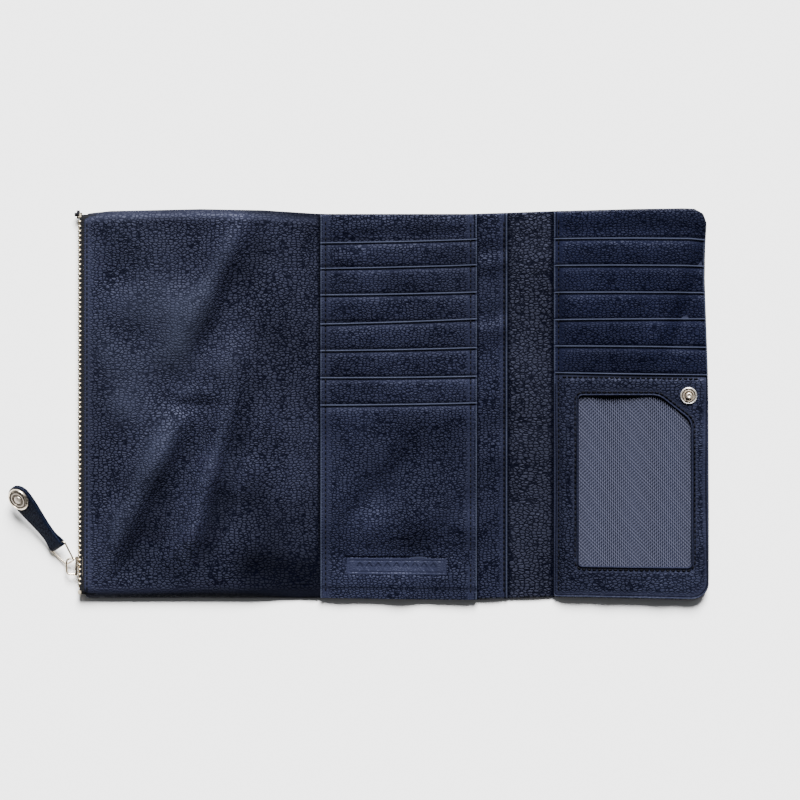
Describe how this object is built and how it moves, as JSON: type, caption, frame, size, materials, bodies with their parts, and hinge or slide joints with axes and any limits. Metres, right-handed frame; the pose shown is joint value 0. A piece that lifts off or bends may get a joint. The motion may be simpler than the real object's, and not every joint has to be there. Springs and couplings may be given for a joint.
{
  "type": "passport holder",
  "caption": "Folding leather travel wallet with card slots, a note pocket, a zipped pouch with a strap pull, and a snap-closed flap with a mesh identity window.",
  "frame": {"origin": "middle of the centre panel's underside, with the wallet lying open and flat", "axes": "+X across the open wallet from the zipped pouch to the snap flap, +Y up its height, +Z out of the inner faces"},
  "size_m": [0.4256, 0.237, 0.0169],
  "materials": {
    "leather": "navy pebbled leather, semi-matt",
    "lining": "dark navy woven lining",
    "zip_tape": "near-black woven zip tape",
    "zip_teeth": "polished pale brass",
    "pale_gold": "polished pale gold plating",
    "snap_metal": "polished nickel plating",
    "window_mesh": "fine grey-blue open mesh"
  },
  "bodies": {
    "centre_panel": {"centre_back": "leather", "centre_lining": "lining", "note_pocket_panel": "leather", "centre_card_base": "lining", "centre_slot_header": "leather", "centre_slot_1": "leather", "centre_slot_2": "leather", "centre_slot_3": "leather", "centre_slot_4": "leather", "centre_slot_5": "leather", "centre_slot_6": "leather", "centre_front_pocket": "leather"},
    "fold_strip": {"fold_back": "leather", "fold_front": "leather"},
    "pouch": {"pouch_back": "leather", "pouch_back_lining": "lining", "pouch_front": "leather", "pouch_front_lining": "lining", "zip_tape_lower": "zip_tape", "zip_tape_upper": "zip_tape", "zip_teeth_lower": "zip_teeth", "zip_teeth_upper": "zip_teeth", "zip_top_stops": "zip_teeth", "zip_bottom_stop": "zip_teeth", "snap_socket": "snap_metal", "snap_socket_cap": "snap_metal"},
    "slider": {"slider_body": "pale_gold", "slider_crown": "pale_gold"},
    "link": {"pull_link": "pale_gold"},
    "pull_tab": {"pull_strap": "leather", "pull_rivet_cap": "pale_gold", "pull_rivet_post": "pale_gold"},
    "spine": {"spine_back": "leather", "spine_lining": "leather"},
    "flap": {"flap_back": "leather", "flap_lining": "lining", "flap_card_base": "lining", "flap_slot_header": "leather", "flap_slot_1": "leather", "flap_slot_2": "leather", "flap_slot_3": "leather", "flap_slot_4": "leather", "flap_slot_5": "leather", "id_window_frame": "leather", "id_window_mesh": "window_mesh", "snap_stud": "snap_metal", "snap_stud_eyelet": "snap_metal"}
  },
  "joints": [
    {"name": "pouch_fold", "type": "hinge", "parent": "centre_panel", "child": "fold_strip", "pos_m": [-0.0655, 0, 0.00125], "axis": [0, 1, 0], "range_deg": [0, 90]},
    {"name": "pouch_turn", "type": "hinge", "parent": "fold_strip", "child": "pouch", "pos_m": [-0.0825, 0, 0.00125], "axis": [0, 1, 0], "range_deg": [0, 90]},
    {"name": "flap_fold", "type": "hinge", "parent": "centre_panel", "child": "spine", "pos_m": [0.0655, 0, 0.00125], "axis": [0, -1, 0], "range_deg": [0, 90]},
    {"name": "flap_turn", "type": "hinge", "parent": "spine", "child": "flap", "pos_m": [0.0912, 0, 0.00125], "axis": [0, -1, 0], "range_deg": [0, 90]},
    {"name": "zip_slide", "type": "slide", "parent": "pouch", "child": "slider", "axis": [0, 1, 0], "range_m": [0, 0.205]},
    {"name": "link_swing", "type": "hinge", "parent": "slider", "child": "link", "pos_m": [-0.2023, -0.0964, 0.004], "axis": [0, 0, -1], "range_deg": [-100, 36]},
    {"name": "tab_swing", "type": "hinge", "parent": "link", "child": "pull_tab", "pos_m": [-0.21004, -0.08608, 0.00558], "axis": [0.6598, 0.397, 0.638], "range_deg": [0, 70]}
  ],
  "couplings": [
    {"joint": "pouch_turn", "follows": "pouch_fold", "ratio": 1},
    {"joint": "flap_turn", "follows": "flap_fold", "ratio": 1}
  ]
}
